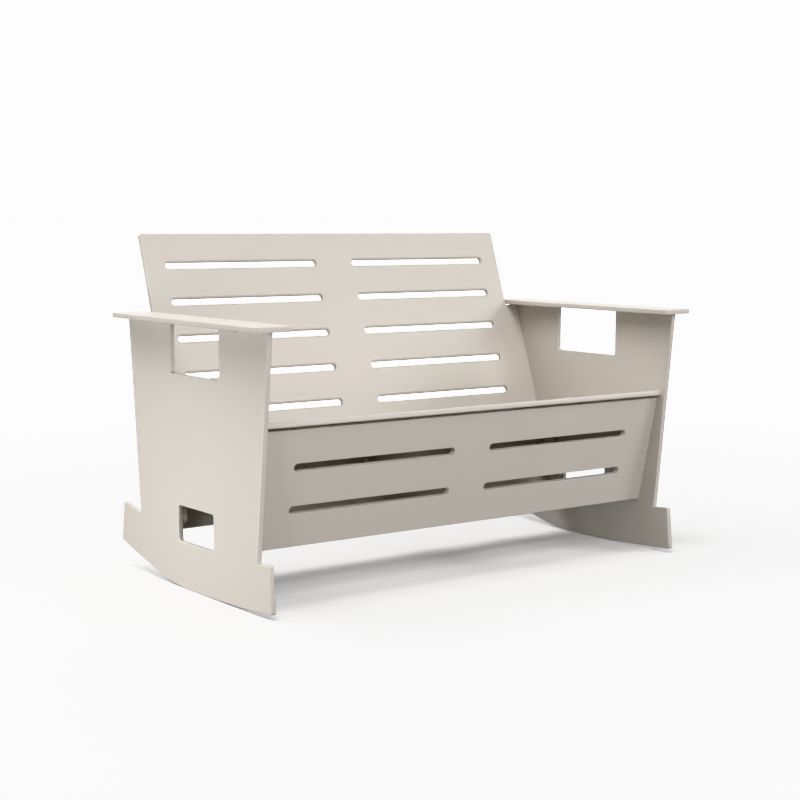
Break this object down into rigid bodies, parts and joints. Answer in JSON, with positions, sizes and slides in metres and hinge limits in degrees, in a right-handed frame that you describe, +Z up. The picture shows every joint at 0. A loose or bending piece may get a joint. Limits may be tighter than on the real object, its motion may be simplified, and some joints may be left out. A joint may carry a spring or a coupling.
{
  "type": "rocking bench",
  "caption": "Rocking bench of flat plastic boards: slotted reclined back, slotted sloping seat and apron, flat arm boards, and side panels with a grip, a window and a curved runner foot.",
  "frame": {"origin": "on the floor, under the middle of the bench's overall box", "axes": "+X along the bench, to the right of someone who stands before it and looks at it, so node names ending in left lie at -X; +Y to the rear, the front faces -Y; +Z up"},
  "size_m": [1.2762, 0.6954, 0.8078],
  "materials": {
    "sheet_plastic": "satin, fine orange-peel, pale warm grey sheet with rounded edges",
    "stick_plastic": "satin, sawn square stock of the same plastic",
    "plate_steel": "brushed stainless steel",
    "screw_steel": "stainless steel"
  },
  "bodies": {
    "root": {"side_panel_left": "sheet_plastic", "side_panel_right": "sheet_plastic", "arm_board_left": "sheet_plastic", "arm_board_right": "sheet_plastic", "seat_board": "sheet_plastic", "back_panel": "sheet_plastic", "front_apron": "sheet_plastic", "centre_rib": "sheet_plastic", "back_strip_left": "stick_plastic", "back_strip_right": "stick_plastic", "back_bar_left": "stick_plastic", "back_bar_right": "stick_plastic", "apron_bar_left": "stick_plastic", "apron_bar_right": "stick_plastic", "seat_bar_left": "stick_plastic", "seat_bar_right": "stick_plastic", "rib_front_bar_left": "stick_plastic", "rib_front_bar_right": "stick_plastic", "rib_rear_bar_left": "stick_plastic", "rib_rear_bar_right": "stick_plastic", "rib_seat_bar_left": "stick_plastic", "rib_seat_bar_right": "stick_plastic", "arm_plate_left_front": "plate_steel", "arm_plate_left_rear": "plate_steel", "arm_plate_right_front": "plate_steel", "arm_plate_right_rear": "plate_steel", "long_screws": "screw_steel", "strip_screws": "screw_steel", "arm_screws": "screw_steel", "plate_screws": "screw_steel"}
  },
  "joints": []
}
